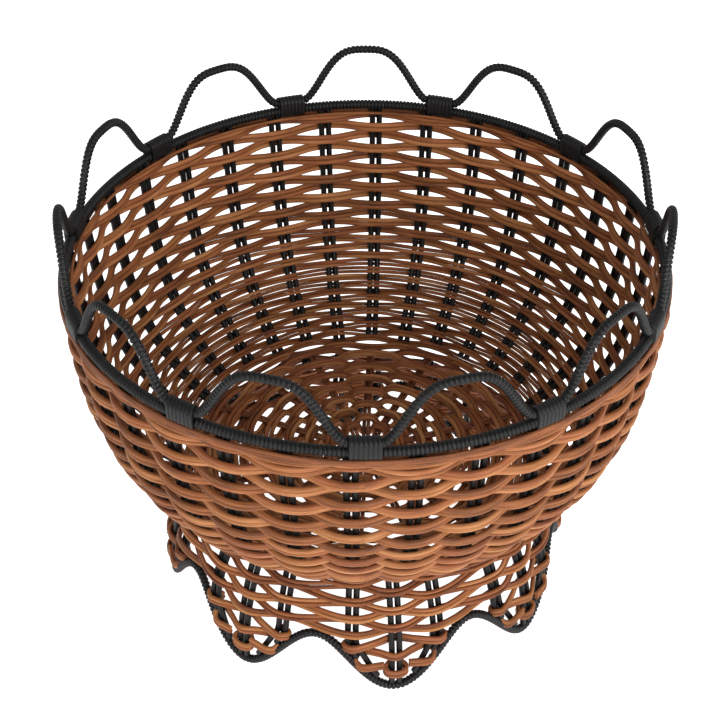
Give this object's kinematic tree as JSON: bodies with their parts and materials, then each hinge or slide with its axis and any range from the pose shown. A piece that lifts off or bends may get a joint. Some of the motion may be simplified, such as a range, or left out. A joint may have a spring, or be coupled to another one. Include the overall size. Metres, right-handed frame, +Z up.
{
  "type": "woven fruit basket",
  "caption": "Round open fruit basket of woven rattan strands on black uprights, with a wrapped hoop, a scalloped rim and a flared scalloped foot.",
  "frame": {"origin": "on the surface that the basket stands on, under the middle of the bowl", "axes": "+Z up; the front, where one tie of the rim is centred, faces -Y; +X to the right"},
  "size_m": [0.3374, 0.3377, 0.2632],
  "materials": {
    "rattan": "satin peeled rattan strands, reddish brown with golden edges",
    "spoke_rattan": "satin, a darker brown rattan rod",
    "black_wrap": "satin black flat strip, wound close",
    "black_stake": "satin black rods",
    "rod_core": "bare wire under the wrapping, not seen"
  },
  "bodies": {
    "root": {"rim_hoop_core": "rod_core", "scallop_rod_core": "rod_core", "foot_rod_core": "rod_core", "rim_hoop_wrapping": "black_wrap", "scallop_rod_wrapping": "black_wrap", "foot_rod_wrapping": "black_wrap", "rim_ties": "black_wrap", "bowl_stakes": "black_stake", "foot_stakes": "black_stake", "wall_weave_01": "rattan", "wall_weave_02": "rattan", "wall_weave_03": "rattan", "wall_weave_04": "rattan", "wall_weave_05": "rattan", "wall_weave_06": "rattan", "wall_weave_07": "rattan", "wall_weave_08": "rattan", "wall_weave_09": "rattan", "wall_weave_10": "rattan", "wall_weave_11": "rattan", "wall_weave_12": "rattan", "wall_weave_13": "rattan", "wall_weave_14": "rattan", "wall_weave_15": "rattan", "wall_weave_16": "rattan", "wall_weave_17": "rattan", "wall_weave_18": "rattan", "wall_weave_19": "rattan", "wall_weave_20": "rattan", "wall_weave_21": "rattan", "wall_weave_22": "rattan", "wall_weave_23": "rattan", "wall_weave_24": "rattan", "wall_weave_25": "rattan", "wall_weave_26": "rattan", "wall_weave_27": "rattan", "wall_weave_28": "rattan", "rim_border_strands": "rattan", "foot_weave_1": "rattan", "foot_weave_2": "rattan", "foot_weave_3": "rattan", "foot_weave_4": "rattan", "foot_weave_5": "rattan", "foot_weave_6": "rattan", "foot_weave_7": "rattan", "foot_lobe_strands_upper": "rattan", "foot_lobe_strands_middle": "rattan", "foot_lobe_strands_lower": "rattan", "base_weave_inner": "rattan", "base_weave_middle": "rattan", "base_weave_outer": "rattan", "base_spokes_lower": "spoke_rattan", "base_spokes_upper": "spoke_rattan"}
  },
  "joints": []
}
